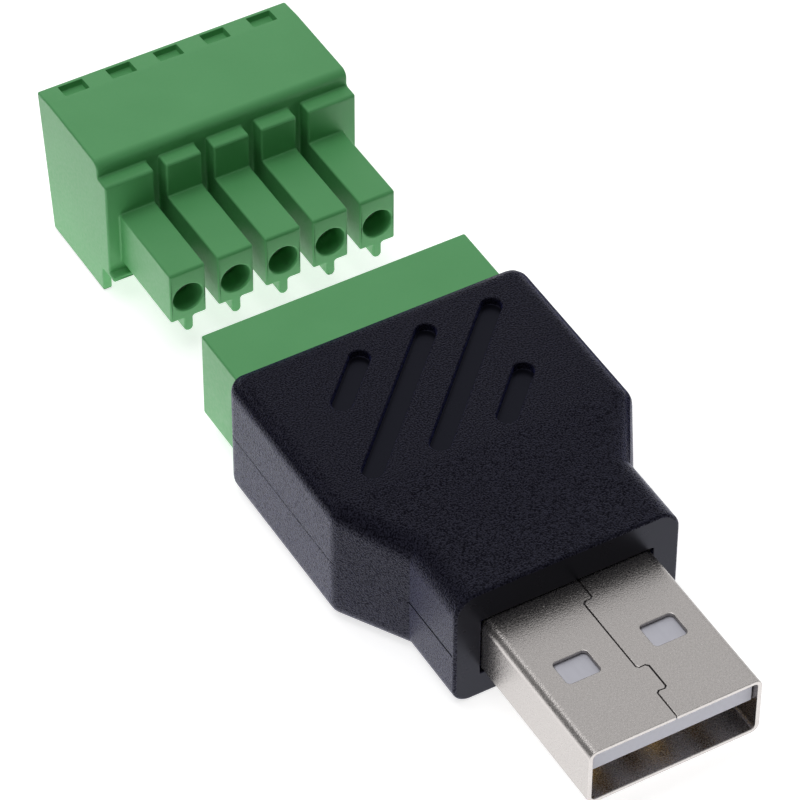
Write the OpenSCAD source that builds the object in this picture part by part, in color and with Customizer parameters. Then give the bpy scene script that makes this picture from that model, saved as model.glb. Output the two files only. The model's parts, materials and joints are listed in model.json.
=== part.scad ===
// USB-A plug adapter with a five-way pluggable screw terminal block.
// Millimetres. X is the width, Y runs from the USB tip to the terminal plug, Z is up.
// The origin is on the underside, at the middle of the whole length.

/* [USB plug] */
// Width of the folded shell
usb_w = 12; // [11:0.1:13]
// Height of the folded shell
usb_h = 4.5; // [4.2:0.05:5]
// Thickness of the shell's sheet
sheet_t = 0.3; // [0.2:0.05:0.4]
// Outer radius of the shell's four folds
fold_r = 0.6; // [0.45:0.05:1]
// Length of shell that stands out of the housing
usb_reach = 12.2; // [11.5:0.1:14]
// Length of shell that stands into the housing's cavity
shell_in = 1; // [0.5:0.1:2]
// Width of the seam where the folded sheet meets itself
seam_w = 0.08; // [0.05:0.01:0.15]
// Sideways step of the seam's jigsaw tab
seam_step = 0.75; // [0.4:0.05:1.2]
// Length of the seam's jigsaw tab
seam_tab_l = 2.1; // [1:0.1:3]
// Distance from the tip to the seam's jigsaw tab
seam_tab_set = 2.3; // [1.5:0.1:3]
// Distance from the tip to the seam's rear step
seam_rear_set = 10.55; // [9:0.05:11]
// How far back the seam's corners are cut
seam_ease = 0.16; // [0.05:0.01:0.19]
// Width of the latch windows
window_w = 2.35; // [1.6:0.05:2.8]
// Length of the latch windows
window_l = 1.95; // [1.2:0.05:2.4]
// Distance between the two latch windows of a side
window_gap = 3.7; // [2.6:0.1:4.6]
// Distance from the tip to the latch windows
window_set = 5.3; // [4.6:0.1:6.5]
// Corner radius of the latch windows
window_r = 0.3; // [0.1:0.05:0.5]
// Thickness of the tongue
tongue_t = 1.84; // [1.5:0.02:2]
// Distance from the shell's tip back to the tongue
tongue_set = 0.5; // [0.2:0.1:1]
// Distance from the shell's tip back to the end of the socket space under the tongue
socket_l = 9.2; // [8.5:0.1:10]
// Width of a contact finger
finger_w = 1; // [0.8:0.05:1.2]
// Thickness of a contact finger
finger_t = 0.2; // [0.15:0.05:0.3]
// Spacing of the two inner fingers
inner_span = 2; // [1.8:0.1:2.4]
// Spacing of the two outer fingers
outer_span = 7; // [6.4:0.1:7.6]
// Distance from the tongue's end to the outer fingers
outer_set = 0.6; // [0.3:0.1:1.2]
// Distance from the tongue's end to the inner fingers
inner_set = 1.6; // [1:0.1:2.4]
// Length of the fingers and of the shell's side tabs on the circuit board
tail_l = 2.6; // [1.5:0.1:3]
// Width of the shell's side tabs
tab_w = 1.8; // [1:0.1:2.4]

/* [Housing] */
// Length of the wide part
body_l = 13.6; // [12.5:0.1:18]
// Length of the sloping shoulders
shoulder_l = 4.6; // [3:0.1:6]
// Length of the neck
neck_l = 5.3; // [4:0.1:7]
// Wall beside the header
side_wall = 1; // [0.8:0.05:1.6]
// Wall under the header
floor_t = 1.35; // [1:0.05:2]
// Wall over the header
roof_t = 1.35; // [1.2:0.05:2]
// Wall beside the USB shell
neck_wall = 1.85; // [1.3:0.05:2.2]
// How far the neck's top lies below the wide part's top
neck_drop = 0.45; // [0.05:0.05:0.5]
// Wall around the circuit board
wall = 1.2; // [1:0.05:1.6]
// Radius of the housing's long edges and upright corners
edge_r = 1.2; // [0.6:0.05:1.3]
// Radius of the neck's upper edges
neck_r = 1.6; // [1.3:0.05:2]
// Radius of the edges of the neck's front
front_r = 0.2; // [0.1:0.05:0.5]
// Height of the parting line at the neck
neck_split_z = 4.1; // [3:0.1:5]
// Gap that shows between the two halves along the neck
neck_reveal = 0.14; // [0.05:0.01:0.2]
// Gap that shows between the two halves along the wide part
body_reveal = 0.03; // [0.02:0.01:0.1]
// Height of the lip that lines up the two halves
lip_h = 0.6; // [0.4:0.05:1]
// Width of the grooves in the top
groove_w = 1.4; // [0.8:0.05:2]
// Depth of the grooves in the top
groove_d = 0.35; // [0.1:0.05:0.6]
// Sideways spacing of the grooves
groove_pitch = 4.75; // [4:0.05:5.4]
// Length of the groove field along the housing
groove_field = 8.9; // [7:0.1:10]
// Length of the short grooves along the housing
groove_short = 2.9; // [2:0.1:4]
// Distance from the rear face to the middle of the groove field
groove_set = 7.4; // [6.8:0.1:8]

/* [Circuit board] */
// Thickness of the circuit board
board_t = 1; // [0.8:0.1:1.6]
// Width of the ledge that carries the circuit board
ledge_w = 1; // [0.6:0.05:1.5]

/* [Header] */
// Spacing of the poles
pitch = 3.5; // [3.3:0.01:3.81]
// Height of the header
header_h = 6.7; // [6.3:0.05:7.5]
// Length of the header
header_l = 9; // [8.4:0.1:10]
// Length of header that stands out of the housing
header_reach = 5; // [4:0.1:5.5]
// Distance from the outer pins to the header's ends
header_end = 2.6; // [2.2:0.05:3.2]
// Top and bottom walls of the header
header_wall = 0.85; // [0.7:0.05:1]
// Thickness of the header's floor
header_floor = 1.8; // [1.2:0.1:2]
// Side of the square pins
pin_side = 0.8; // [0.6:0.05:0.9]
// Distance from the header's mouth back to the pin tips
pin_set = 1; // [0.5:0.1:2]
// Length of pin on the circuit board
pin_tail = 3.4; // [2:0.1:4]

/* [Terminal plug] */
// Distance between the header's mouth and the pulled-out plug
pulled_out = 6.7; // [3:0.1:12]
// Height of the plug
plug_h = 11; // [10.6:0.05:12.5]
// Length of the plug's top
plug_top_l = 8.45; // [7.6:0.05:10]
// How far the rear face leans in at the bottom
rear_lean = 1.4; // [0.2:0.05:1.6]
// Length of the strip behind the crease of the plug's top
strip_l = 1.8; // [1.6:0.05:2.4]
// How far the strip falls towards the rear
strip_fall = 0.15; // [0.05:0.01:0.3]
// Distance from the outer poles to the plug's ends
plug_end = 2.25; // [2.15:0.05:2.6]
// Length of the snouts
snout_l = 6.8; // [6:0.1:7]
// Gap between the snouts
snout_gap = 0.9; // [0.7:0.05:1.1]
// Room that the header leaves around the snouts
mate_gap = 0.18; // [0.1:0.02:0.3]
// Distance from the header's lower wall up to the snouts
key_room = 0.72; // [0.5:0.02:0.9]
// Width of the key rib under each snout
key_w = 0.65; // [0.4:0.05:0.9]
// Height of the key rib under each snout
key_h = 1.2; // [0.8:0.05:1.4]
// Thickness of the comb plate that carries the snouts
comb_t = 1.1; // [0.8:0.05:1.5]
// Distance from the plug's top down to the comb
comb_fall = 1.2; // [0.8:0.05:1.8]
// Radius of the plug's upper front edge
brow_r = 0.6; // [0.2:0.05:0.75]
// How far the stop lip stands out of the comb
lip_reach = 0.55; // [0.3:0.05:0.8]
// Thickness of the stop lip
stop_t = 0.35; // [0.2:0.05:0.5]
// Thickness of the two cheeks below the comb
cheek_t = 0.65; // [0.4:0.05:0.8]
// Distance from the comb's face back to the cheeks
cheek_set = 1; // [0.6:0.05:1.4]
// Width of the small windows in the top
slot_w = 1.75; // [1.2:0.05:2.2]
// Length of the small windows in the top
slot_l = 1.15; // [0.6:0.05:1.2]
// Depth of the small windows in the top
slot_d = 0.6; // [0.3:0.05:0.8]

/* [Clamps] */
// Wall between two clamp chambers
chamber_wall = 0.7; // [0.5:0.05:0.9]
// Wall in front of the clamp chambers
chamber_front = 0.7; // [0.5:0.05:1]
// Wall behind the clamp chambers, at the underside
chamber_rear = 1.05; // [0.8:0.05:1.4]
// Wall of the contact socket
socket_wall = 0.35; // [0.25:0.05:0.4]
// Room around the contact socket in its snout
socket_room = 0.12; // [0.06:0.02:0.16]
// Distance from the snout's face back to the contact socket
socket_set = 1.6; // [1:0.1:2.4]
// Length of the contact socket
socket_tube = 5.4; // [4.5:0.1:5.8]
// Width of the slits that let the contact socket spring
slit_w = 0.3; // [0.2:0.05:0.4]
// Thickness of the current bar
bar_t = 0.5; // [0.4:0.05:0.6]
// Width of the current bar
bar_w = 1.4; // [1:0.05:1.45]
// Height of the open clamp above the current bar
wire_room = 2.7; // [2:0.05:2.9]
// Length of the clamp cage
cage_l = 3; // [2.4:0.1:3.2]
// Thickness of the cage's sides
cage_t = 0.35; // [0.25:0.05:0.45]
// Thickness of the cage's pressing end
cage_end = 0.5; // [0.4:0.05:0.7]
// Thickness of the cage's threaded end
nut_t = 0.9; // [0.7:0.05:1.1]
// Diameter of the screw's shank
shank_d = 1.9; // [1.6:0.05:2]
// Diameter of the screw's head
head_d = 2.4; // [2.1:0.05:2.5]
// Height of the screw's head
head_h = 1; // [0.8:0.05:1.1]
// Distance from the underside up to the screw's head
head_set = 0.2; // [0.1:0.05:0.3]
// Wall that the screw's head pulls against
seat_t = 0.45; // [0.3:0.05:0.6]
// Width of the screw's slot
drive_w = 0.5; // [0.3:0.05:0.7]
// Depth of the screw's slot
drive_d = 0.5; // [0.3:0.05:0.6]

/* [Fits] */
// Clearance around a piece that is held fast
fit = 0.05; // [0.02:0.01:0.08]
// Clearance around a piece that slides
slide_fit = 0.1; // [0.05:0.01:0.12]

/* [Hidden] */
$fn = 48;
fingers = 4;
poles = 5;
// How far a cut runs past the face that it opens
over = 1;
// Thickness of the slices that shape the neck's rounded front, and their number
slice_t = 0.02;
slices = 5;

// Widths and heights that follow from the pieces inside
row_half = (poles - 1) / 2 * pitch;
header_w = 2 * (row_half + header_end);
plug_w = 2 * (row_half + plug_end);
snout_w = pitch - snout_gap;
body_w = header_w + 2 * (fit + side_wall);
body_h = header_h + 2 * fit + floor_t + roof_t;
neck_w = usb_w + 2 * (fit + neck_wall);
neck_h = body_h - neck_drop;
socket_bore = pin_side * sqrt(2) + fit;
socket_d = socket_bore + 2 * socket_wall;
snout_hole_d = socket_d + 2 * socket_room;
chamber_w = pitch - chamber_wall;
chamber_l = cage_l + 6 * slide_fit;
cage_w = chamber_w - 2 * slide_fit;
keyway_w = key_w + 2 * mate_gap;

// Heights above the underside
header_z = floor_t + fit + header_h / 2;
board_z = header_z - pin_side / 2;
usb_top_z = board_z + tongue_t + sheet_t;
usb_z = usb_top_z - usb_h / 2;
body_split_z = header_z;
cavity_top_z = neck_h - wall;
header_in_z = header_z - header_h / 2 + header_wall;
header_roof_z = header_z + header_h / 2 - header_wall;
snout_z = header_in_z + key_room;
snout_top_z = header_roof_z - mate_gap;
bar_z = header_z + (socket_d / 2 - bar_t) / 2;
seat_z = head_set + head_h + fit;
pit_z = seat_z + seat_t;
nut_z = bar_z - 4 * slide_fit - nut_t;
cage_top_z = bar_z + bar_t + wire_room + cage_end;
chamber_top_z = cage_top_z + 2 * slide_fit;
stop_z = header_in_z + mate_gap / 2;
comb_top_z = plug_h - comb_fall;

// Distances from the USB tip
neck_y = usb_reach;
shoulder_y = neck_y + neck_l;
body_y = shoulder_y + shoulder_l;
rear_y = body_y + body_l;
shell_end_y = shoulder_y + shell_in;
board_y = shell_end_y + 3 * slide_fit;
mouth_y = rear_y + header_reach;
header_y = mouth_y - header_l;
snout_y = mouth_y + pulled_out;
comb_y = snout_y + snout_l;
plug_y = comb_y + comb_t;
plug_rear_y = plug_y + plug_top_l;
rear_foot_y = plug_rear_y - rear_lean;
chamber_y = rear_foot_y - chamber_rear - chamber_l;
well_y = chamber_y - chamber_front;
cage_y = chamber_y + 3 * slide_fit;
screw_y = cage_y + cage_l / 2;
total_l = plug_rear_y;

// The sloping shoulder turns the outline by this angle
shoulder_turn = atan2((body_w - neck_w) / 2, shoulder_l);

abs_black = "#1f1e24";
nickel = "#b5b0aa";
white_lcp = "#dcdce4";
gold = "#c9a24a";
fr4_green = "#1d5a34";
pbt_green = "#4a8c55";
tin = "#c3c6c8";
zinc_steel = "#9fa4a8";

function pole_x(i) = (i - (poles + 1) / 2) * pitch;

function finger_x(i) = [-outer_span, -inner_span, inner_span, outer_span][i - 1] / 2;

function is_outer(i) = i == 1 || i == fingers;

// Right half of the housing's outline, moved inwards by d, between two distances from the tip
function half_outline(d, front_y, back_y) =
    let (s = d * tan(shoulder_turn / 2))
    [
        [neck_w / 2 - d, front_y],
        [neck_w / 2 - d, shoulder_y + s],
        [body_w / 2 - d, body_y + s],
        [body_w / 2 - d, back_y]
    ];

function mirrored(points) =
    concat(points, [for (i = [len(points) - 1:-1:0]) [-points[i][0], points[i][1]]]);

function arc(centre, r, from, to, steps) =
    [
        for (k = [0:steps])
            let (a = from + (to - from) * k / steps)
            centre + r * [cos(a), sin(a)]
    ];

// Moves the origin from the USB tip to the middle of the length
module placed() {
    translate([0, -total_l / 2, 0])
        children();
}

// Extrudes a drawing in X and Z along Y
module along_y(y, l) {
    translate([0, y + l, 0])
        rotate([90, 0, 0])
            linear_extrude(l)
                children();
}

// Extrudes a drawing in Y and Z along X, half to each side of x
module along_x(x, w) {
    translate([x, 0, 0])
        rotate([90, 0, 90])
            linear_extrude(w, center = true)
                children();
}

// A box half to each side of x, backwards from y and upwards from z
module block(x, y, z, size) {
    translate([x - size[0] / 2, y, z])
        cube(size);
}

module rounded_rect(w, h, r) {
    square([w, h - 2 * r], center = true);
    square([w - 2 * r, h], center = true);
    for (x = [-1, 1], z = [-1, 1])
        translate([x * (w / 2 - r), z * (h / 2 - r)])
            circle(r);
}

// An upright round post with a domed top and a rounded foot
module post(r, h) {
    rotate_extrude($fn = 32)
        polygon(concat(
            [[0, 0]],
            arc([r - edge_r, edge_r], edge_r, -90, 0, 6),
            arc([0, h - r], r, 0, 90, 6)
        ));
}

// The wide part and its shoulders, stretched over six posts
module body_form() {
    hull()
        for (k = [1:3], side = [-1, 1]) {
            r = k == 1 ? neck_r : edge_r;
            point = half_outline(r, neck_y, rear_y - r)[k];
            translate([side * point[0], point[1], 0])
                post(r, k == 1 ? neck_h : body_h);
        }
}

// The neck, stretched over slices that grow smaller towards its front
module neck_form() {
    hull()
        for (k = [0:slices]) {
            inset = front_r * (1 - sin(90 * k / slices));
            y = neck_y + front_r * (1 - cos(90 * k / slices));
            along_y(y, k == slices ? shoulder_y + edge_r - y : slice_t)
                for (side = [-1, 1]) {
                    translate([side * (neck_w / 2 - neck_r), neck_h - neck_r])
                        circle(neck_r - inset, $fn = 32);
                    translate([side * (neck_w / 2 - edge_r), edge_r])
                        circle(edge_r - inset, $fn = 32);
                }
        }
}

// Everything below the parting line, which steps down from the header's middle to the neck
module below_split(from_y, neck_rise, body_rise) {
    neck_z = neck_split_z + neck_rise;
    body_z = body_split_z + body_rise;
    along_x(0, 2 * body_w)
        polygon([
            [from_y, -over], [from_y, neck_z], [shoulder_y, neck_z],
            [body_y, body_z], [rear_y + over, body_z], [rear_y + over, -over]
        ]);
}

// The lip of the lower half, or with a clearance the rebate of the upper half
module lip(clearance) {
    d = wall / 2 - clearance;
    intersection() {
        translate([0, 0, floor_t])
            linear_extrude(body_h)
                polygon(mirrored(half_outline(d, neck_y + d, rear_y - d)));
        below_split(0, lip_h, lip_h);
    }
}

// Pockets through the walls for the USB shell and the header
module wall_pockets() {
    block(0, neck_y - over, usb_z - usb_h / 2 - fit,
        [usb_w + 2 * fit, shell_end_y - neck_y + over + fit, usb_h + 2 * fit]);
    block(0, header_y - fit, header_z - header_h / 2 - fit,
        [header_w + 2 * fit, header_l + fit, header_h + 2 * fit]);
}

module cavity(d, from_z, to_z) {
    translate([0, 0, from_z])
        linear_extrude(to_z - from_z)
            polygon(mirrored(half_outline(d, shoulder_y, rear_y - wall)));
}

// A slanting groove; x is where its line meets the middle of the field
module groove(x, from, to) {
    slant = sqrt(2);
    rotate([0, 0, -45])
        translate([x / slant, x / slant, 0]) {
            block(0, from * slant, 0, [groove_w, (to - from) * slant, groove_d + over]);
            for (end = [from, to])
                translate([0, end * slant, 0])
                    cylinder(d = groove_w, h = groove_d + over);
        }
}

module grooves() {
    half = groove_field / 2;
    translate([0, rear_y - groove_set, body_h - groove_d])
        for (side = [-1, 1]) {
            groove(side * groove_pitch / 2, -half, half);
            groove(side * groove_pitch * 1.5,
                side < 0 ? half - groove_short : -half,
                side < 0 ? half : groove_short - half);
        }
}

module housing_top() {
    color(abs_black)
        placed()
            difference() {
                union() {
                    body_form();
                    neck_form();
                }
                below_split(0, 0, 0);
                below_split(neck_y + front_r, neck_reveal, body_reveal);
                lip(fit);
                cavity(wall, 0, cavity_top_z);
                wall_pockets();
                grooves();
            }
}

module housing_bottom() {
    color(abs_black)
        placed()
            difference() {
                union() {
                    intersection() {
                        union() {
                            body_form();
                            neck_form();
                        }
                        below_split(0, 0, 0);
                    }
                    lip(0);
                }
                cavity(wall, board_z - board_t, body_h);
                cavity(wall + ledge_w, wall, body_h);
                wall_pockets();
            }
}

// A path with each of its corners cut back
function eased(path, r) =
    concat(
        [path[0]],
        [
            for (k = [1:len(path) - 2], step = [-1, 1])
                let (d = path[k + step] - path[k])
                path[k] + d / norm(d) * r
        ],
        [path[len(path) - 1]]
    );

// One stretch of the seam, between two points on the shell's top
module seam_cut(a, b) {
    d = b - a;
    translate([a[0], a[1], usb_top_z - 1.5 * sheet_t])
        rotate([0, 0, atan2(d[1], d[0])])
            translate([-seam_w / 2, -seam_w / 2, 0])
                cube([norm(d) + seam_w, seam_w, 2 * sheet_t]);
}

module seam() {
    tab_end = seam_tab_set + seam_tab_l;
    path = eased([
        [0, -seam_w], [0, seam_tab_set], [seam_step, seam_tab_set - seam_w], [seam_step, tab_end],
        [0, tab_end], [0, seam_rear_set], [seam_step, seam_rear_set], [seam_step, shell_end_y + seam_w]
    ], seam_ease);
    for (k = [0:len(path) - 2])
        seam_cut(path[k], path[k + 1]);
}

module windows() {
    for (side = [-1, 1], z = [usb_top_z - usb_h, usb_top_z])
        translate([side * (window_gap + window_w) / 2, window_set + window_l / 2, z - sheet_t * 1.5])
            linear_extrude(3 * sheet_t)
                rounded_rect(window_w, window_l, window_r);
}

module usb_shell() {
    color(nickel)
        placed() {
            difference() {
                along_y(0, shell_end_y)
                    translate([0, usb_z])
                        difference() {
                            rounded_rect(usb_w, usb_h, fold_r);
                            rounded_rect(usb_w - 2 * sheet_t, usb_h - 2 * sheet_t, fold_r - sheet_t);
                        }
                seam();
                windows();
            }
            for (side = [-1, 1])
                block(side * (usb_w - sheet_t) / 2, shell_end_y, usb_z - tab_w / 2, [sheet_t, tail_l, tab_w]);
        }
}

module finger(i) {
    front = tongue_set + (is_outer(i) ? outer_set : inner_set);
    block(finger_x(i), front, board_z, [finger_w, board_y + tail_l - front, finger_t]);
}

module usb_insulator() {
    in_w = usb_w - 2 * (sheet_t + fit);
    top_z = usb_top_z - sheet_t - fit;
    low_z = usb_top_z - usb_h + sheet_t + fit;
    bevel = fold_r - sheet_t;
    color(white_lcp)
        placed()
            difference() {
                union() {
                    block(0, tongue_set, board_z, [in_w, shell_end_y - tongue_set, top_z - board_z]);
                    block(0, socket_l, low_z, [in_w, shell_end_y - socket_l, top_z - low_z]);
                }
                for (i = [1:fingers])
                    finger(i);
                for (x = [-1, 1], z = [top_z, low_z])
                    translate([x * in_w / 2, 0, z])
                        rotate([0, 45, 0])
                            cube([bevel, 3 * shell_end_y, bevel], center = true);
            }
}

module usb_contact(i) {
    color(gold)
        placed()
            finger(i);
}

module circuit_board() {
    tongue_half = usb_w / 2 - sheet_t - 2 * slide_fit;
    step_y = board_y + tail_l + 3 * slide_fit;
    color(fr4_green)
        placed()
            translate([0, 0, board_z - board_t])
                linear_extrude(board_t)
                    difference() {
                        polygon(mirrored(half_outline(wall + slide_fit, shoulder_y, header_y - 2 * slide_fit)));
                        translate([-body_w, shoulder_y - over])
                            square([2 * body_w, board_y - shoulder_y + over]);
                        for (side = [-1, 1])
                            translate([side * (tongue_half + body_w / 2) - body_w / 2, shoulder_y])
                                square([body_w, step_y - shoulder_y]);
                    }
}

module header_housing() {
    in_w = 2 * row_half + snout_w + 2 * mate_gap;
    in_y = header_y + header_floor;
    color(pbt_green)
        placed()
            difference() {
                block(0, header_y, header_z - header_h / 2, [header_w, header_l, header_h]);
                block(0, in_y, header_in_z, [in_w, header_l, header_roof_z - header_in_z]);
                for (i = [1:poles]) {
                    block(pole_x(i), in_y, header_in_z - header_wall - over,
                        [keyway_w, header_l, header_wall + 2 * over]);
                    pin(i);
                }
            }
}

module pin(i) {
    half = pin_side / 2;
    tip_y = mouth_y - pin_set;
    tail_y = header_y - pin_tail;
    translate([pole_x(i), 0, header_z])
        linear_extrude(pin_side, center = true)
            polygon([
                [-half, tail_y], [half, tail_y], [half, tip_y - half],
                [half / 2, tip_y], [-half / 2, tip_y], [-half, tip_y - half]
            ]);
}

module header_pin(i) {
    color(tin)
        placed()
            pin(i);
}

// Side view of the terminal plug's body, its comb and the stop lip at the comb's foot
module plug_profile() {
    polygon(concat(
        [[well_y, 0], [rear_foot_y, 0], [plug_rear_y, plug_h - strip_fall], [plug_rear_y - strip_l, plug_h]],
        arc([plug_y + brow_r, plug_h - brow_r], brow_r, 90, 180, 6),
        [
            [plug_y, comb_top_z], [comb_y, comb_top_z], [comb_y, stop_z], [comb_y - lip_reach, stop_z],
            [comb_y - lip_reach, stop_z - stop_t], [well_y, stop_z - stop_t]
        ]
    ));
}

// Side view of the cheeks that close the ends below the comb
module cheek_profile() {
    polygon([
        [comb_y + cheek_set, 0], [chamber_y, 0], [chamber_y, stop_z],
        [comb_y, stop_z], [comb_y + cheek_set, stop_z - stop_t]
    ]);
}

module snout(i) {
    x = pole_x(i);
    block(x, snout_y, snout_z, [snout_w, snout_l + comb_t, snout_top_z - snout_z]);
    along_y(snout_y, snout_l)
        translate([x, snout_z - key_h + key_w / 2]) {
            circle(d = key_w);
            translate([-key_w / 2, 0])
                square([key_w, key_h]);
        }
}

// Everything cut out of one pole: socket hole, clamp chamber, wire entry, screw hole and top window
module pole_cuts(i) {
    x = pole_x(i);
    along_y(snout_y - over, chamber_y - snout_y + 2 * over)
        translate([x, header_z])
            circle(d = snout_hole_d);
    block(x, chamber_y, pit_z, [chamber_w, chamber_l, chamber_top_z - pit_z]);
    block(x, chamber_y, nut_z - slide_fit,
        [chamber_w, plug_rear_y - chamber_y + over, chamber_top_z - nut_z + slide_fit]);
    translate([x, screw_y, -over])
        cylinder(d = head_d + 2 * slide_fit, h = seat_z + over);
    translate([x, screw_y, 0])
        cylinder(d = shank_d + 2 * fit, h = pit_z + over);
    block(x, plug_rear_y - (strip_l + slot_l) / 2, plug_h - slot_d, [slot_w, slot_l, slot_d + over]);
}

module comb_gaps() {
    for (i = [1:poles - 1])
        block((pole_x(i) + pole_x(i + 1)) / 2, comb_y - lip_reach - over, stop_z,
            [snout_gap, lip_reach + over + comb_t, plug_h]);
}

module plug_housing() {
    color(pbt_green)
        placed()
            difference() {
                union() {
                    difference() {
                        along_x(0, plug_w)
                            plug_profile();
                        comb_gaps();
                    }
                    for (side = [-1, 1])
                        along_x(side * (plug_w - cheek_t) / 2, cheek_t)
                            cheek_profile();
                    for (i = [1:poles])
                        snout(i);
                }
                for (i = [1:poles])
                    pole_cuts(i);
            }
}

module plug_contact(i) {
    x = pole_x(i);
    tube_y = snout_y + socket_set;
    bar_y = tube_y + socket_tube - socket_d / 2;
    color(tin)
        placed()
            difference() {
                union() {
                    along_y(tube_y, socket_tube)
                        translate([x, header_z])
                            circle(d = socket_d);
                    block(x, bar_y, bar_z, [bar_w, cage_y + cage_l - bar_y, bar_t]);
                }
                along_y(tube_y - over, bar_y - tube_y + over)
                    translate([x, header_z])
                        circle(d = socket_bore);
                block(x, tube_y - over, header_z - slit_w / 2, [2 * socket_d, socket_tube / 2 + over, slit_w]);
            }
}

module clamp_cage(i) {
    x = pole_x(i);
    open_z = nut_z + nut_t;
    color(zinc_steel)
        placed()
            difference() {
                block(x, cage_y, nut_z, [cage_w, cage_l, cage_top_z - nut_z]);
                block(x, cage_y - over, open_z,
                    [cage_w - 2 * cage_t, cage_l + 2 * over, cage_top_z - cage_end - open_z]);
                translate([x, screw_y, nut_z - over])
                    cylinder(d = shank_d + 2 * fit, h = nut_t + 2 * over);
            }
}

module clamp_screw(i) {
    tip_z = bar_z - slide_fit;
    color(tin)
        placed()
            translate([pole_x(i), screw_y, head_set])
                difference() {
                    union() {
                        cylinder(d = head_d, h = head_h);
                        cylinder(d = shank_d, h = tip_z - head_set);
                    }
                    block(0, -head_d, -over, [drive_w, 2 * head_d, drive_d + over]);
                }
}

housing_top();
housing_bottom();
usb_shell();
usb_insulator();
for (i = [1:fingers])
    usb_contact(i);
circuit_board();
header_housing();
for (i = [1:poles])
    header_pin(i);
plug_housing();
for (i = [1:poles])
    plug_contact(i);
for (i = [1:poles])
    clamp_cage(i);
for (i = [1:poles])
    clamp_screw(i);
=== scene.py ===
# %% [markdown]
# A USB plug with a pull-off screw terminal block.
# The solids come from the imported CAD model, already in their places and in metres. This lesson gives
# them the soft edges, finishes and light that the real thing has, and moves no piece.

# %% Load the frame
import json
import math

import bmesh
import bpy
from mathutils import Matrix, Vector


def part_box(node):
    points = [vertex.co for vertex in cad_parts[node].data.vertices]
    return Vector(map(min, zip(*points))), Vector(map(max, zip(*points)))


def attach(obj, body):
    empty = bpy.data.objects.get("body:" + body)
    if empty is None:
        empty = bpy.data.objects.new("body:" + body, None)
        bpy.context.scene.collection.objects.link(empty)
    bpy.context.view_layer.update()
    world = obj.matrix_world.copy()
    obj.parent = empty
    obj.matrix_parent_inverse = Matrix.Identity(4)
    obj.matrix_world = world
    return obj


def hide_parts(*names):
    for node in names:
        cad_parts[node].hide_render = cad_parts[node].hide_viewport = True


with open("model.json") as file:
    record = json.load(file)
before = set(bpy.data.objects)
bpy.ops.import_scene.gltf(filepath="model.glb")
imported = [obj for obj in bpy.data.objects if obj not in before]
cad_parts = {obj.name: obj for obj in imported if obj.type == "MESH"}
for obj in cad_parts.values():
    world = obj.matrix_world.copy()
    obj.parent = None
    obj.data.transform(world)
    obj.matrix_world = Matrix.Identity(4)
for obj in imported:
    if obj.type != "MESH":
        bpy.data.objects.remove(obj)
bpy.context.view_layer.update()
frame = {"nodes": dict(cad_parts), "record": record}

MM = 0.001
nodes = frame["nodes"]
bodies = frame["record"]["behaviour"]["bodies"]
body_of_node = {n: b for b, members in bodies.items() for n in members}
slot_of_node = {item["node"]: item["material_slot"] for item in frame["record"]["subparts"]}


print("material slots:", sorted(set(slot_of_node.values())))

# %% [markdown]
# The camera. The real photograph was taken with a long lens from the left front, looking down at about
# 44 degrees. A camera can be aimed by hand, but here its place and direction were fitted to the
# photograph, so they are given as numbers: where it stands, which way it looks and which way is right.

# %% Camera
CAMERA_PLACE = Vector((-108.381, -185.931, 216.522)) * MM
CAMERA_RIGHT = Vector((0.865875, -0.500252, 0.002847))
CAMERA_AHEAD = Vector((0.358725, 0.616922, -0.700517))
SENSOR_MM = 36.0
LENS_MM = 216.515
NEAREST, FARTHEST = 0.01, 50.0

camera_data = bpy.data.cameras.new("product_camera")
camera_data.sensor_width = SENSOR_MM
camera_data.lens = LENS_MM
camera_data.clip_start = NEAREST
camera_data.clip_end = FARTHEST
camera = bpy.data.objects.new("product_camera", camera_data)
bpy.context.scene.collection.objects.link(camera)
up = CAMERA_RIGHT.cross(CAMERA_AHEAD)
axes = Matrix((CAMERA_RIGHT, up, -CAMERA_AHEAD)).transposed().to_4x4()
camera.matrix_world = Matrix.Translation(CAMERA_PLACE) @ axes
bpy.context.scene.camera = camera
bpy.context.scene.view_settings.view_transform = "Standard"
print("camera at", [round(c / MM, 1) for c in CAMERA_PLACE], "mm, lens", LENS_MM, "mm")

# %% [markdown]
# Small helpers for every material. Colours are written as the hex values that a painter would read off
# a screen, and Blender wants them linear, so one function converts them. Another adds a shader node with
# its settings and its links in one line, so that a material reads as a list of what it is made of.

# %% Node helpers
WHITE = "#FFFFFF"


def linear(hex_colour):
    """An sRGB hex colour as linear red, green, blue and alpha."""
    channels = [int(hex_colour[i:i + 2], 16) / 255 for i in (1, 3, 5)]
    return [c / 12.92 if c <= 0.04045 else ((c + 0.055) / 1.055) ** 2.4 for c in channels] + [1.0]


def add(tree, kind, inputs=None, links=None, **settings):
    """One new node with its settings, its socket values and its links from other nodes' outputs."""
    made = tree.nodes.new(kind)
    for name, value in settings.items():
        setattr(made, name, value)
    for name, value in (inputs or {}).items():
        made.inputs[name].default_value = value
    for name, source in (links or {}).items():
        tree.links.new(source, made.inputs[name])
    return made


def math_of(tree, operation, first, second):
    """The result of a sum on two sockets."""
    return add(tree, "ShaderNodeMath", links={0: first, 1: second}, operation=operation).outputs[0]


def new_material(name):
    """An empty node material and its tree."""
    material = bpy.data.materials.new(name)
    material.use_nodes = True
    material.node_tree.nodes.clear()
    return material, material.node_tree


def seen_directly(tree):
    """1 for what the camera, mirrors and glass see, and 0 for the light that falls on the object."""
    rays = add(tree, "ShaderNodeLightPath").outputs
    mirrored = math_of(tree, "MAXIMUM", rays["Is Camera Ray"], rays["Is Glossy Ray"])
    return math_of(tree, "MAXIMUM", mirrored, rays["Is Transmission Ray"])


print("white is", linear(WHITE))

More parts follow.
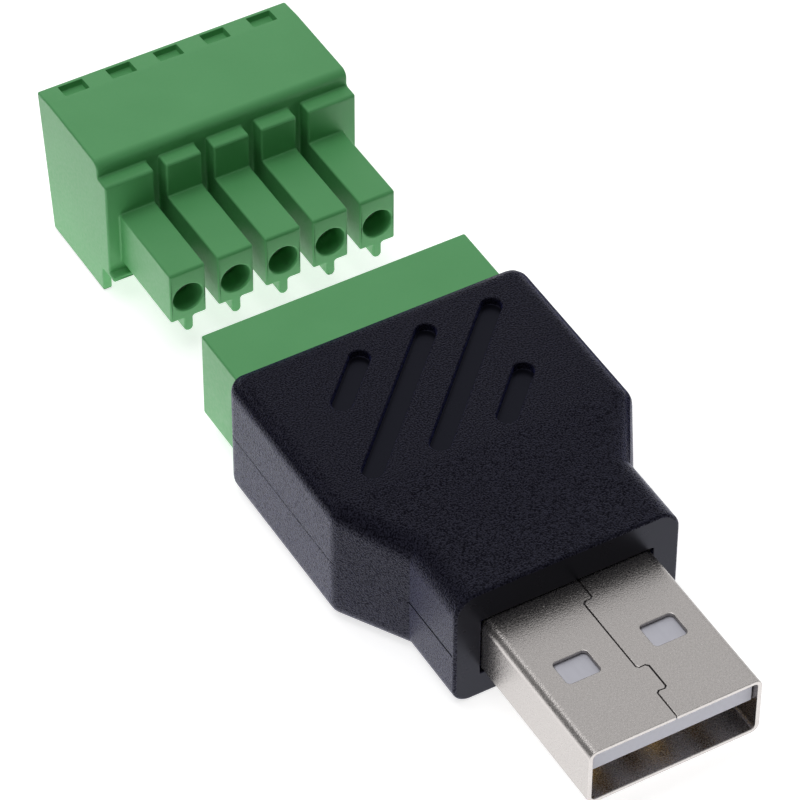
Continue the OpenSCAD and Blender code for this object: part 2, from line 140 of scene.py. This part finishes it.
# %% [markdown]
# Texture helpers. Each finish has a noise with cells of a real size, which leads its colour, its
# roughness and mostly its relief. A noise seldom leaves the range from 0.3 to 0.7, so that range is what
# is spread over the wanted values.

# %% Texture helpers
NOISE_RANGE = (0.3, 0.7)
FULL_RANGE = (0.0, 1.0)


def per_metre(size_mm):
    """A texture scale that gives features of this size, because the coordinates are in metres."""
    return 1 / (size_mm * MM)


def object_place(tree):
    """Coordinates that stick to the object."""
    return add(tree, "ShaderNodeTexCoord").outputs["Object"]


def noise(tree, cell_mm, detail, roughness=0.5, stretch=None):
    """A noise with cells of this size, drawn out along an axis where its stretch is below 1."""
    place = object_place(tree)
    if stretch is not None:
        place = add(tree, "ShaderNodeMapping", {"Scale": stretch}, {"Vector": place}).outputs["Vector"]
    settings = {"Scale": per_metre(cell_mm), "Detail": detail, "Roughness": roughness}
    return add(tree, "ShaderNodeTexNoise", settings, {"Vector": place}).outputs["Fac"]


def spread(tree, value, low, high, source=NOISE_RANGE, blend="LINEAR"):
    """A value's source range spread over the range from low to high."""
    ends = {"From Min": source[0], "From Max": source[1], "To Min": low, "To Max": high}
    made = add(tree, "ShaderNodeMapRange", ends, {"Value": value}, interpolation_type=blend)
    return made.outputs["Result"]


def shades(tree, value, dark, light):
    """A colour between two ends, led by a value from 0 to 1."""
    made = add(tree, "ShaderNodeValToRGB", links={"Fac": value})
    made.color_ramp.elements[0].color = linear(dark)
    made.color_ramp.elements[1].color = linear(light)
    return made.outputs["Color"]


def relief(tree, height, strength, depth_mm):
    """A bent normal for a relief of this depth."""
    settings = {"Strength": strength, "Distance": depth_mm * MM}
    return add(tree, "ShaderNodeBump", settings, {"Height": height}).outputs["Normal"]


def surface(tree, inputs, links):
    """A principled shader as the material's surface."""
    shader = add(tree, "ShaderNodeBsdfPrincipled", inputs, links)
    add(tree, "ShaderNodeOutputMaterial", links={"Surface": shader.outputs[0]})


print("a 0.2 mm grain has scale", per_metre(0.2))

# %% [markdown]
# Floor and backdrop. The object stands on pure white paper. The floor is a plain pale sheet that takes
# the object's soft shadow, and for the camera, mirrors and glass it also glows a little, which lifts it
# to white without putting more light on the object. It lies a hair below the feet, so that the two never
# share a plane, and it is clear from below, so that the underside can be looked at.

# %% Floor
FLOOR_HALF = 3.0
FLOOR_Z = -0.05 * MM
FLOOR_LIFT = 0.74

floor_mesh = bpy.data.meshes.new("paper_floor")
corner_signs = [(-1, -1), (1, -1), (1, 1), (-1, 1)]
floor_corners = [(x * FLOOR_HALF, y * FLOOR_HALF, FLOOR_Z) for x, y in corner_signs]
floor_mesh.from_pydata(floor_corners, [], [(0, 1, 2, 3)])
floor = bpy.data.objects.new("paper_floor", floor_mesh)
bpy.context.scene.collection.objects.link(floor)

paper, tree = new_material("white_paper_uncoated")
lift = add(tree, "ShaderNodeMath", {1: FLOOR_LIFT}, {0: seen_directly(tree)}, operation="MULTIPLY")
sheet = add(tree, "ShaderNodeBsdfDiffuse", {"Color": linear("#D0D0D0")})
glow = add(tree, "ShaderNodeEmission", {"Color": linear(WHITE)}, {"Strength": lift.outputs[0]})
both = add(tree, "ShaderNodeAddShader", links={0: sheet.outputs[0], 1: glow.outputs[0]})
side = add(tree, "ShaderNodeNewGeometry")
clear = add(tree, "ShaderNodeBsdfTransparent", {"Color": linear(WHITE)})
one_sided = add(tree, "ShaderNodeMixShader",
                links={0: side.outputs["Backfacing"], 1: both.outputs[0], 2: clear.outputs[0]})
add(tree, "ShaderNodeOutputMaterial", links={"Surface": one_sided.outputs[0]})
floor.data.materials.append(paper)
print("floor", 2 * FLOOR_HALF, "m wide")

# %% [markdown]
# The room. A dark room with a big pale wall behind the object to the right. The wall is what metal and
# gloss show, so it could be a real sheet, but the world itself, bright towards one side and dark
# elsewhere, gives the same with no mesh. For the camera, mirrors and glass the rest of the room is a
# pale background, palest at the front.

# %% World
WALL = Vector((0.50, 0.78, 0.38)).normalized()
WALL_LEVEL, ROOM_LEVEL = 1.05, 0.07
WALL_FADE = (0.40, 0.90)
REAR_LEVEL, FRONT_LEVEL = 0.35, 0.75
REAR_TO_FRONT = (0.45, -0.10)

world = bpy.data.worlds.new("studio_room")
bpy.context.scene.world = world
world.use_nodes = True
tree = world.node_tree
tree.nodes.clear()
where = add(tree, "ShaderNodeTexCoord").outputs["Generated"]
facing = add(tree, "ShaderNodeVectorMath", {1: WALL}, {0: where}, operation="DOT_PRODUCT")
level = spread(tree, facing.outputs["Value"], ROOM_LEVEL, WALL_LEVEL, WALL_FADE, "SMOOTHSTEP")
axis = add(tree, "ShaderNodeSeparateXYZ", links={"Vector": where})
pale = spread(tree, axis.outputs["Y"], REAR_LEVEL, FRONT_LEVEL, REAR_TO_FRONT, "SMOOTHSTEP")
backdrop = math_of(tree, "MULTIPLY", pale, seen_directly(tree))
total = math_of(tree, "MAXIMUM", backdrop, level)
room = add(tree, "ShaderNodeBackground", {"Color": linear(WHITE)}, {"Strength": total})
add(tree, "ShaderNodeOutputWorld", links={"Surface": room.outputs[0]})
print("wall towards", [round(c, 2) for c in WALL], "level", WALL_LEVEL, "room", ROOM_LEVEL)

# %% [markdown]
# The lamps. The object lies on a light table under a softbox. Tops take their light from the softbox and
# the wall, upright faces from the table, and faces that look at none of them stay deep.

# %% Lamps
SOFTBOX_PLACE, SOFTBOX_SIZE, SOFTBOX_WATTS = (-0.15, 0.06, 0.65), (0.50, 0.50), 2.1
TABLE_PLACE, TABLE_SIZE, TABLE_WATTS = (0, 0, 0.00005), (0.06, 0.10), 0.0205


def area_lamp(name, place, aim, size, watts):
    """A rectangular area lamp at a place that looks at another. Lengths are in metres."""
    data = bpy.data.lights.new(name, "AREA")
    data.shape = "RECTANGLE"
    data.size, data.size_y = size
    data.energy = watts
    lamp = bpy.data.objects.new(name, data)
    bpy.context.scene.collection.objects.link(lamp)
    lamp.location = place
    lamp.rotation_mode = "QUATERNION"
    lamp.rotation_quaternion = (Vector(aim) - Vector(place)).to_track_quat("-Z", "Y")
    return lamp


area_lamp("softbox_above", SOFTBOX_PLACE, (0, 0, 0), SOFTBOX_SIZE, SOFTBOX_WATTS)
table = area_lamp("light_table", TABLE_PLACE, (0, 0, 1), TABLE_SIZE, TABLE_WATTS)
table.visible_camera = False

# %% [markdown]
# Soft edges. CAD edges are perfectly sharp, and nothing real is: a mould leaves a radius of a tenth of a
# millimetre or two and a press leaves less. A copy of each solid gets its flat triangles merged into
# whole faces, hollow outlines are cut into bulging ones, which a bevel handles cleanly, and then each
# sharp edge gets its bevel. Small features can't take a wide one, so the width of each edge is held to a
# share of the shortest edge that leaves it sideways.

# %% Edge rounding
SHARP_ANGLE = math.radians(28)
FLAT_ANGLE = math.radians(0.6)
SAME_POINT = 0.002 * MM
SIDEWAYS_COSINE = 0.85
ROOM_SHARE = 0.38
BEVEL_SEGMENTS = 3


def cleaned(node):
    """The node's mesh with its seams closed and its flat triangles merged."""
    bm = bmesh.new()
    bm.from_mesh(nodes[node].data)
    bmesh.ops.remove_doubles(bm, verts=bm.verts, dist=SAME_POINT)
    bmesh.ops.dissolve_limit(bm, angle_limit=FLAT_ANGLE, verts=bm.verts, edges=bm.edges)
    bmesh.ops.connect_verts_concave(bm, faces=bm.faces[:])
    return bm


def room_at(edge):
    """The length of the shortest edge that leaves this one sideways."""
    along = (edge.verts[1].co - edge.verts[0].co).normalized()
    shortest = math.inf
    for vert in edge.verts:
        for other in vert.link_edges:
            if other is edge:
                continue
            side = other.other_vert(vert).co - vert.co
            if abs(side.normalized().dot(along)) < SIDEWAYS_COSINE:
                shortest = min(shortest, side.length)
    return shortest


def weigh_edges(bm, radius_mm, radius_for):
    """Writes on each sharp edge what share of the bevel's width it takes."""
    weight = bm.edges.layers.float.new("bevel_weight_edge")
    for edge in bm.edges:
        if not edge.is_manifold or edge.calc_face_angle() <= SHARP_ANGLE:
            continue
        wanted = radius_mm if radius_for is None else radius_for(edge, radius_mm)
        edge.smooth = wanted > 0
        width = min(wanted * MM, ROOM_SHARE * room_at(edge))
        edge[weight] = min(1.0, width / (radius_mm * MM))


def soften(piece, radius_mm):
    """The modifiers that round the weighed edges and keep flat faces flat."""
    bevel = piece.modifiers.new("soft_edges", "BEVEL")
    bevel.limit_method = "WEIGHT"
    bevel.width = radius_mm * MM
    bevel.segments = BEVEL_SEGMENTS
    bevel.use_clamp_overlap = False
    bevel.loop_slide = False
    bevel.miter_outer = "MITER_ARC"
    merge = piece.modifiers.new("whole_flat_faces", "DECIMATE")
    merge.decimate_type = "DISSOLVE"
    merge.angle_limit = FLAT_ANGLE
    merge.delimit = {"MATERIAL", "SHARP"}
    shading = piece.modifiers.new("flat_faces_stay_flat", "WEIGHTED_NORMAL")
    shading.keep_sharp = True


def rounded_copy(node, radius_mm, finish, radius_for=None, reshape=None):
    """A copy of a CAD node with its sharp edges rounded, in its finish, riding on the node's body."""
    bm = cleaned(node)
    if reshape is not None:
        reshape(bm)
    for face in bm.faces:
        face.smooth = True
    weigh_edges(bm, radius_mm, radius_for)
    mesh = bpy.data.meshes.new(node + "_finished")
    bm.to_mesh(mesh)
    bm.free()
    piece = bpy.data.objects.new(node + "_finished", mesh)
    bpy.context.scene.collection.objects.link(piece)
    soften(piece, radius_mm)
    mesh.materials.append(finish)
    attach(piece, body_of_node[node])
    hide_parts(node)
    return piece


def nodes_of(slot):
    """The CAD nodes of one material slot, in order."""
    return sorted(n for n in nodes if slot_of_node[n] == slot)


print("edges over", round(math.degrees(SHARP_ANGLE)), "degrees are rounded")

# %% [markdown]
# Black ABS with a spark-eroded grain. The mould was etched by sparks, which leaves shallow pits about
# 0.1 mm across, so the plastic looks deep black from above and sparkles grey where it is seen at a flat
# angle. The pits could be real dents, but at this size bump, gloss and roughness from one noise look the
# same and cost no faces.

# %% Black ABS
# Pigmented right through, so nearly all that the eye gets is the gloss of the skin: cool, broken by pits.
ABS_IOR = 1.54
PIT_RANGE = (0.38, 0.62)
PIT_TONE_RANGE = (0.40, 0.62)

black_abs, tree = new_material("black_abs_spark_eroded")
grain = noise(tree, cell_mm=0.10, detail=1.0)
tone_place = spread(tree, grain, 0.0, 1.0, PIT_TONE_RANGE)
# A pit swallows most of what it would mirror, so the gloss comes from the ridges between pits.
gloss = spread(tree, grain, 0.02, 0.125, PIT_RANGE)
surface(tree,
        {"IOR": ABS_IOR, "Specular Tint": linear("#D4D8FF"),
         "Sheen Weight": 0.15, "Sheen Roughness": 0.4, "Sheen Tint": linear("#7A82F4")},
        {"Base Color": shades(tree, tone_place, "#08070D", "#191822"),
         "Roughness": spread(tree, grain, 0.24, 0.44, PIT_RANGE),
         "Specular IOR Level": gloss,
         "Normal": relief(tree, grain, strength=1.0, depth_mm=0.08)})
print("made", black_abs.name)

# %% [markdown]
# The same ABS from a smooth part of the tool. The flat face round the USB shell is where the two tool
# halves shut on a polished insert, and the floors of the grooves come from the tips of polished ribs, so
# they have no pits and mirror faintly what lies in front of them.

# %% Smooth black ABS
# A half-gloss skin: black in front of the shell, and grey where it mirrors the paper.
black_smooth, tree = new_material("black_abs_polished_tool")
haze = noise(tree, cell_mm=1.2, detail=3.0)
surface(tree,
        {"IOR": ABS_IOR, "Specular IOR Level": 0.11, "Specular Tint": linear("#C4CAFF")},
        {"Base Color": shades(tree, haze, "#08080C", "#0C0C11"),
         "Roughness": spread(tree, haze, 0.26, 0.34)})
print("made", black_smooth.name)

# %% [markdown]
# The housing halves. They meet on a thin dark line round the sides, and the edges along that line stay
# sharp, so that it keeps its width. So do shallow valleys, and the grooves have a smaller radius than
# the rest. The upper half is adjusted by a few hundredths of a millimetre where the line is too fine or
# shouldn't show, and its grooves are sunk a little further.

# %% Housing
# Lengths and heights are in millimetres.
HOUSING_EDGE, GROOVE_EDGE = 0.10, 0.08
SHALLOW_VALLEY = math.radians(45)
SPLIT_Z = (4.0, 4.9)
GROOVE_Z = 8.9
GROOVE_FLOOR_Z, GROOVE_SINK = 9.15, 0.20
SUNK_FLOOR_Z = GROOVE_FLOOR_Z - GROOVE_SINK
WIDE_RIM_Z, WIDE_RIM_LIFT = 4.78, 0.04
SAME_HEIGHT, NEARBY = 0.01, 0.05
FACING_COSINE = 0.99
NECK_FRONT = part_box("housing_top")[0][1] / MM
SHOULDER = (NECK_FRONT + 5.3, NECK_FRONT + 9.8)
SHOULDER_LENGTH, SHOULDER_INNER_X = 3.0, 7.6
LINE_BACK_DROP, LINE_FRONT_DROP, LINE_FRONT_SHARE = 0.035, 0.125, 0.04


def middle_y(edge):
    """How far back the middle of an edge lies, in millimetres."""
    return (edge.verts[0].co.y + edge.verts[1].co.y) / 2 / MM


def along_split(edge):
    """Whether an edge lies on the line where the halves meet."""
    return all(SPLIT_Z[0] < v.co.z / MM < SPLIT_Z[1] for v in edge.verts)


def on_shoulder_line(edge):
    """Whether an edge is the outer line where the halves meet on a slanting shoulder."""
    if not along_split(edge) or not SHOULDER[0] < middle_y(edge) < SHOULDER[1]:
        return False
    outside = min(abs(v.co.x) / MM for v in edge.verts) >= SHOULDER_INNER_X
    return outside and edge.calc_length() >= SHOULDER_LENGTH * MM


def housing_radius(edge, radius_mm):
    """The mould's radius, less round the grooves, none in shallow valleys or where the halves meet."""
    if not edge.is_convex and edge.calc_face_angle() < SHALLOW_VALLEY:
        return 0.0
    if all(v.co.z / MM > GROOVE_Z for v in edge.verts):
        return GROOVE_EDGE
    return 0.0 if along_split(edge) else radius_mm


def fit_upper_half(bm):
    """Sinks the grooves, opens the line on the wide part and closes it on the slanting shoulders."""
    for vert in bm.verts:
        if abs(vert.co.z / MM - GROOVE_FLOOR_Z) < SAME_HEIGHT:
            vert.co.z -= GROOVE_SINK * MM
        if abs(vert.co.z / MM - WIDE_RIM_Z) < SAME_HEIGHT:
            vert.co.z += WIDE_RIM_LIFT * MM
    for edge in list(bm.edges):
        if not on_shoulder_line(edge):
            continue
        front, back = sorted(edge.verts, key=lambda v: v.co.y)
        back.co.z -= LINE_BACK_DROP * MM
        near = bmesh.utils.edge_split(edge, front, LINE_FRONT_SHARE)[1]
        near.co.z -= LINE_FRONT_DROP * MM


def from_smooth_tool(face):
    """Whether a face is the neck's front or the floor of a groove."""
    neck = face.normal.y < -FACING_COSINE and face.center.y / MM < NECK_FRONT + NEARBY
    groove = face.normal.z > FACING_COSINE and abs(face.center.z / MM - SUNK_FLOOR_Z) < NEARBY
    return neck or groove


for node, reshape in (("housing_top", fit_upper_half), ("housing_bottom", None)):
    half = rounded_copy(node, HOUSING_EDGE, black_abs, housing_radius, reshape)
    half.data.materials.append(black_smooth)
    smooth_faces = [face for face in half.data.polygons if from_smooth_tool(face)]
    for face in smooth_faces:
        face.material_index = 1
    print(half.name, "with", len(smooth_faces), "smooth faces")

# %% [markdown]
# Green PBT. The terminal block and its header are moulded in polished tools: smooth, half matt, with a
# faint cloudiness where the melt flowed. One noise a few millimetres wide gives the clouds, and a finer
# one breaks up the gloss.

# %% Green PBT
# A filled plastic: soft and milky, with a weak gloss that whitens the sides that face the paper.
green_pbt, tree = new_material("green_pbt_moulded")
flow = noise(tree, cell_mm=4.0, detail=3.0)
fine = noise(tree, cell_mm=0.25, detail=2.0)
surface(tree, {"IOR": 1.55, "Specular IOR Level": 0.27},
        {"Base Color": shades(tree, flow, "#529D5E", "#5CA768"),
         "Roughness": spread(tree, fine, 0.42, 0.54),
         "Normal": relief(tree, fine, strength=0.12, depth_mm=0.02)})
print("made", green_pbt.name)

# %% [markdown]
# Header and plug. The header has one radius all round. On the plug the upper front edges of the snouts
# and the comb are the roundest, and the five small pockets along the rear are crisp.

# %% Header and plug
# Lengths and heights are in millimetres.
HEADER_EDGE = 0.14
PLUG_EDGE, PLUG_BROW, POCKET_EDGE = 0.14, 0.24, 0.05
SNOUT_MIDDLE_Z = 7.0
SNOUT_REACH = 7.0
COMB_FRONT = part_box("plug_housing")[0][1] / MM + SNOUT_REACH
PLUG_REAR, PLUG_TOP = (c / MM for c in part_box("plug_housing")[1][1:])
POCKET_FROM_REAR = (0.2, 1.7)
POCKET_FROM_TOP = 0.8
SAME_LINE = 0.01


def in_pocket(vert):
    """Whether a corner belongs to one of the five small pockets along the top's rear edge."""
    nearest, farthest = POCKET_FROM_REAR
    at_rear = PLUG_REAR - farthest < vert.co.y / MM < PLUG_REAR - nearest
    return at_rear and vert.co.z / MM > PLUG_TOP - POCKET_FROM_TOP


def plug_radius(edge, radius_mm):
    """The full radius on the upper front edges of snouts and comb, little round the pockets."""
    if all(in_pocket(v) for v in edge.verts):
        return POCKET_EDGE
    first, second = (v.co / MM for v in edge.verts)
    level_edge = abs(first.y - second.y) < SAME_LINE and abs(first.z - second.z) < SAME_LINE
    upper_front = level_edge and first.z > SNOUT_MIDDLE_Z and first.y < COMB_FRONT
    return radius_mm if upper_front and edge.is_convex else PLUG_EDGE


header = rounded_copy("header_housing", HEADER_EDGE, green_pbt)
plug = rounded_copy("plug_housing", PLUG_BROW, green_pbt, plug_radius)
print("made", header.name, "and", plug.name)

# %% [markdown]
# Nickel-plated steel. The shell is folded from thin cold-rolled sheet and plated afterwards. The sheet's
# fine roughness shows through the plating, so it is satin rather than a mirror, with a fine even sparkle.

# %% Nickel-plated steel
# A warm grey metal: it shows the room above, the black neck beside it and the paper at its sides.
SHELL_EDGE = 0.06

nickel, tree = new_material("nickel_plated_steel_satin")
speckle = noise(tree, cell_mm=0.10, detail=2.0, roughness=0.6)
# Nickel dulls towards a flat angle before it brightens, so its edge tint is below white.
surface(tree, {"Metallic": 1.0, "Specular Tint": linear("#C8C8C8")},
        {"Base Color": shades(tree, speckle, "#8F8B89", "#B8B4B2"),
         "Roughness": spread(tree, speckle, 0.20, 0.34),
         "Normal": relief(tree, speckle, strength=0.8, depth_mm=0.02)})

rounded_copy("usb_shell", SHELL_EDGE, nickel)
print("made", nickel.name)

# %% [markdown]
# White LCP. The tongue that carries the contacts is moulded from a stiff liquid-crystal polymer, which
# flows in streaks and comes out dull. The streaks run along the tongue, so the noise is stretched that
# way.

# %% White LCP
# A cool off-white without gloss, a little streaky.
TONGUE_EDGE = 0.08

white_lcp, tree = new_material("white_lcp_moulded")
streaks = noise(tree, cell_mm=0.3, detail=2.0, stretch=(1.0, 0.2, 1.0))
surface(tree, {"IOR": 1.6, "Specular IOR Level": 0.3},
        {"Base Color": shades(tree, streaks, "#C2C2CC", "#CECED8"),
         "Roughness": spread(tree, streaks, 0.50, 0.60)})

rounded_copy("usb_insulator", TONGUE_EDGE, white_lcp)
print("made", white_lcp.name)

# %% [markdown]
# Gold-plated bronze. The four contact fingers are stamped from rolled phosphor bronze and plated with a
# thin gold. Rolling leaves fine lines along the strip, which the plating follows.

# %% Gold-plated bronze
# Pale yellow metal, brushed-looking along its length.
FINGER_EDGE = 0.04

gold, tree = new_material("gold_plated_bronze_rolled")
# Real rolling lines are a hundredth of a millimetre apart; these are drawn coarser so that they show.
lines = noise(tree, cell_mm=0.06, detail=2.0, stretch=(1.0, 0.05, 1.0))
surface(tree, {"Metallic": 1.0},
        {"Base Color": shades(tree, lines, "#D6AE62", "#E6C482"),
         "Roughness": spread(tree, lines, 0.18, 0.32)})

for node in nodes_of("gold_plated_bronze"):
    rounded_copy(node, FINGER_EDGE, gold)
print("made", gold.name)

# %% [markdown]
# Glass-fibre board under green solder mask. The mask is a lacquer, so it is glossy and slightly wavy
# where it flows over the weave of the glass cloth. Two crossed waves make the weave.

# %% Circuit board
# Dark bottle green with a wet gloss and a faint woven ripple.
BOARD_EDGE = 0.04
# The wave texture turns 20 radians a unit, so this scale gives waves about a millimetre long.
WEAVE = {"Scale": 318.309, "Distortion": 0.4}

fr4, tree = new_material("green_solder_mask_on_fr4")
where = object_place(tree)
warp, weft = (add(tree, "ShaderNodeTexWave", WEAVE, {"Vector": where}, bands_direction=way).outputs["Fac"]
              for way in "XY")
weave = math_of(tree, "MULTIPLY", warp, weft)
surface(tree, {"IOR": 1.55},
        {"Base Color": shades(tree, weave, "#1B5230", "#286840"),
         "Roughness": spread(tree, weave, 0.24, 0.34, FULL_RANGE),
         "Normal": relief(tree, weave, strength=0.3, depth_mm=0.01)})

rounded_copy("circuit_board", BOARD_EDGE, fr4)
print("made", fr4.name)

# %% [markdown]
# Tinned brass. The header pins and the sockets in the plug are drawn or stamped from brass and dipped or
# plated in tin, which sets in tiny grains. Voronoi cells are such grains, each with its own gloss.

# %% Tinned brass
# A soft white metal, dull and faintly mottled.
TINNED_EDGE = 0.05
TIN_GRAIN_MM = 0.12

tinned, tree = new_material("tinned_brass_matt")
cells = add(tree, "ShaderNodeTexVoronoi", {"Scale": per_metre(TIN_GRAIN_MM)},
            {"Vector": object_place(tree)})
shade = add(tree, "ShaderNodeSeparateColor", links={"Color": cells.outputs["Color"]})
surface(tree, {"Metallic": 1.0},
        {"Base Color": shades(tree, shade.outputs["Red"], "#B4B2AD", "#CCCAC5"),
         "Roughness": spread(tree, shade.outputs["Green"], 0.30, 0.42, FULL_RANGE)})

for node in nodes_of("tinned_brass"):
    rounded_copy(node, TINNED_EDGE, tinned)
print("made", tinned.name)

# %% [markdown]
# Zinc-plated steel. The clamp screws and cages are steel, barrel-plated with zinc and passivated, which
# gives a bright, slightly blue skin with little scuffs from tumbling.

# %% Zinc-plated steel
# Bright bluish metal with an uneven shine.
ZINC_EDGE = 0.06

zinc, tree = new_material("zinc_plated_steel_passivated")
scuffs = noise(tree, cell_mm=0.35, detail=4.0, roughness=0.65)
surface(tree, {"Metallic": 1.0},
        {"Base Color": shades(tree, scuffs, "#ADB2BA", "#C9CED6"),
         "Roughness": spread(tree, scuffs, 0.22, 0.42),
         "Normal": relief(tree, scuffs, strength=0.2, depth_mm=0.02)})


def outer_only(edge, radius_mm):
    """Tumbling rounds what stands out, and inner corners stay as the press left them."""
    return radius_mm if edge.is_convex else 0.0


for node in nodes_of("zinc_plated_steel"):
    rounded_copy(node, ZINC_EDGE, zinc, outer_only)
print("made", zinc.name)
